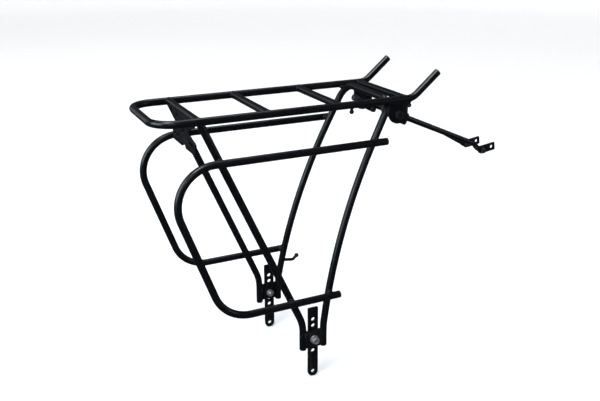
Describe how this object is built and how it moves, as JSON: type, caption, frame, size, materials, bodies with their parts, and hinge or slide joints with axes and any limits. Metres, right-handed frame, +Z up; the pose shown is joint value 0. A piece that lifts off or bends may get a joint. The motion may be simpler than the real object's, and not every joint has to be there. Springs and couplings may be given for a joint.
{
  "type": "rear rack",
  "caption": "Tubular rear luggage rack for a bicycle, with pannier loops, drilled height strips at its feet and two adjustable front stays.",
  "frame": {"origin": "midway between the two dropout eyelet holes at the lower ends of the height strips, on their common axis", "axes": "+X to the front of the bicycle, +Y to its left along the eyelets' axis, +Z up"},
  "size_m": [0.5541, 0.1906, 0.4248],
  "materials": {
    "black_paint": "satin black powder coat",
    "end_plug": "matt black moulded plastic",
    "zinc_fastener": "bright zinc plate",
    "black_fastener": "black oxide steel"
  },
  "bodies": {
    "rack": {"platform_tube": "black_paint", "front_leg_hoop": "black_paint", "light_plate": "black_paint", "pannier_hook_left": "black_paint", "crossbar_tail": "black_paint", "crossbar_second": "black_paint", "crossbar_third": "black_paint", "crossbar_front": "black_paint", "platform_plug_left": "end_plug", "platform_plug_right": "end_plug", "strap_studs_left": "black_paint", "strap_studs_right": "black_paint", "rear_leg_left": "black_paint", "rear_leg_right": "black_paint", "leg_plugs_left": "end_plug", "leg_plugs_right": "end_plug", "pannier_loop_left": "black_paint", "pannier_loop_right": "black_paint", "loop_plugs_left": "end_plug", "loop_plugs_right": "end_plug", "loop_spacers_left": "black_paint", "loop_spacers_right": "black_paint", "foot_plate_left": "black_paint", "foot_plate_right": "black_paint", "strip_bolt_left": "zinc_fastener", "strip_bolt_right": "zinc_fastener", "strip_washer_left": "zinc_fastener", "strip_washer_right": "zinc_fastener", "strip_nut_left": "zinc_fastener", "strip_nut_right": "zinc_fastener", "stay_bracket_left": "black_paint", "stay_bracket_right": "black_paint"},
    "height_strip_left": {"height_strip_left": "black_paint"},
    "stay_clamp_left": {"stay_clamp_left": "black_paint", "pinch_screw_left": "black_fastener", "clamp_washer_left": "black_fastener", "clamp_nut_left": "black_fastener"},
    "stay_left": {"stay_left": "black_paint", "stay_cap_left": "end_plug", "strap_bolt_left": "black_fastener", "strap_nut_left": "black_fastener"},
    "stay_strap_left": {"stay_strap_left": "black_paint"},
    "height_strip_right": {"height_strip_right": "black_paint"},
    "stay_clamp_right": {"stay_clamp_right": "black_paint", "pinch_screw_right": "black_fastener", "clamp_washer_right": "black_fastener", "clamp_nut_right": "black_fastener"},
    "stay_right": {"stay_right": "black_paint", "stay_cap_right": "end_plug", "strap_bolt_right": "black_fastener", "strap_nut_right": "black_fastener"},
    "stay_strap_right": {"stay_strap_right": "black_paint"}
  },
  "joints": [
    {"name": "height_strip_swing_left", "type": "hinge", "parent": "rack", "child": "height_strip_left", "pos_m": [0, 0.0785, 0.054], "axis": [0, 1, 0], "range_deg": [-8, 8]},
    {"name": "stay_clamp_pivot_left", "type": "hinge", "parent": "rack", "child": "stay_clamp_left", "pos_m": [0.146, 0.0419, 0.3553], "axis": [0, 1, 0], "range_deg": [-75, 6]},
    {"name": "stay_slide_left", "type": "slide", "parent": "stay_clamp_left", "child": "stay_left", "axis": [0.9171, 0, -0.3987], "range_m": [-0.03, 0.005]},
    {"name": "stay_strap_pivot_left", "type": "hinge", "parent": "stay_left", "child": "stay_strap_left", "pos_m": [0.32146, 0.0188, 0.27432], "axis": [0, 1, 0], "range_deg": [-55, 90]},
    {"name": "height_strip_swing_right", "type": "hinge", "parent": "rack", "child": "height_strip_right", "pos_m": [0, -0.0785, 0.054], "axis": [0, 1, 0], "range_deg": [-8, 8]},
    {"name": "stay_clamp_pivot_right", "type": "hinge", "parent": "rack", "child": "stay_clamp_right", "pos_m": [0.146, -0.0419, 0.3553], "axis": [0, 1, 0], "range_deg": [-75, 6]},
    {"name": "stay_slide_right", "type": "slide", "parent": "stay_clamp_right", "child": "stay_right", "axis": [0.9171, 0, -0.3987], "range_m": [-0.03, 0.005]},
    {"name": "stay_strap_pivot_right", "type": "hinge", "parent": "stay_right", "child": "stay_strap_right", "pos_m": [0.32146, -0.0188, 0.27432], "axis": [0, 1, 0], "range_deg": [-55, 90]}
  ]
}
